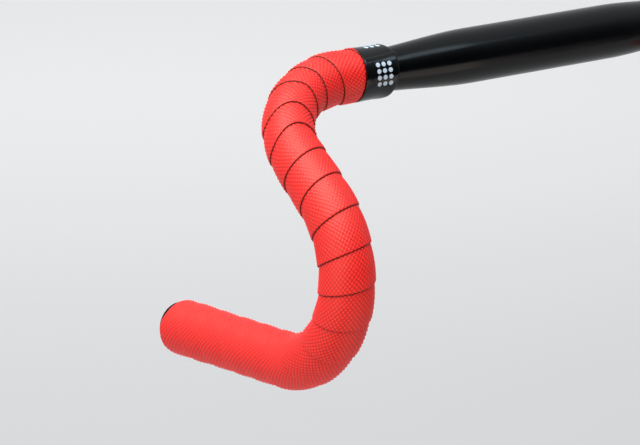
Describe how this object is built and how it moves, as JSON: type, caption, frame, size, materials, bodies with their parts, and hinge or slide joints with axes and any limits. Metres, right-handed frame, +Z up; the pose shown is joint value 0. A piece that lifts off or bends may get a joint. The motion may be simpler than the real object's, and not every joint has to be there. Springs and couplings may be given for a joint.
{
  "type": "taped drop handlebar",
  "caption": "Drop handlebar tube with a thick clamp zone, each side wound with overlapping embossed bar tape, closed by a finishing tape at the top and a plug at the end.",
  "frame": {"origin": "centre of the stem clamp zone, on the bar's centreline", "axes": "+X to the rider's right along the top, +Y forward, +Z up, with the drops close to level"},
  "size_m": [0.4546, 0.1606, 0.1807],
  "materials": {
    "bar": "black satin over aluminium",
    "bar_tape": "red embossed foam tape with a fine diamond grip",
    "finishing_tape": "black glossy vinyl with pale printed marks",
    "end_plug": "black moulded plastic"
  },
  "bodies": {
    "root": {"handlebar": "bar", "right_bar_tape": "bar_tape", "left_bar_tape": "bar_tape", "right_finishing_tape": "finishing_tape", "left_finishing_tape": "finishing_tape", "right_end_plug": "end_plug", "left_end_plug": "end_plug"}
  },
  "joints": []
}
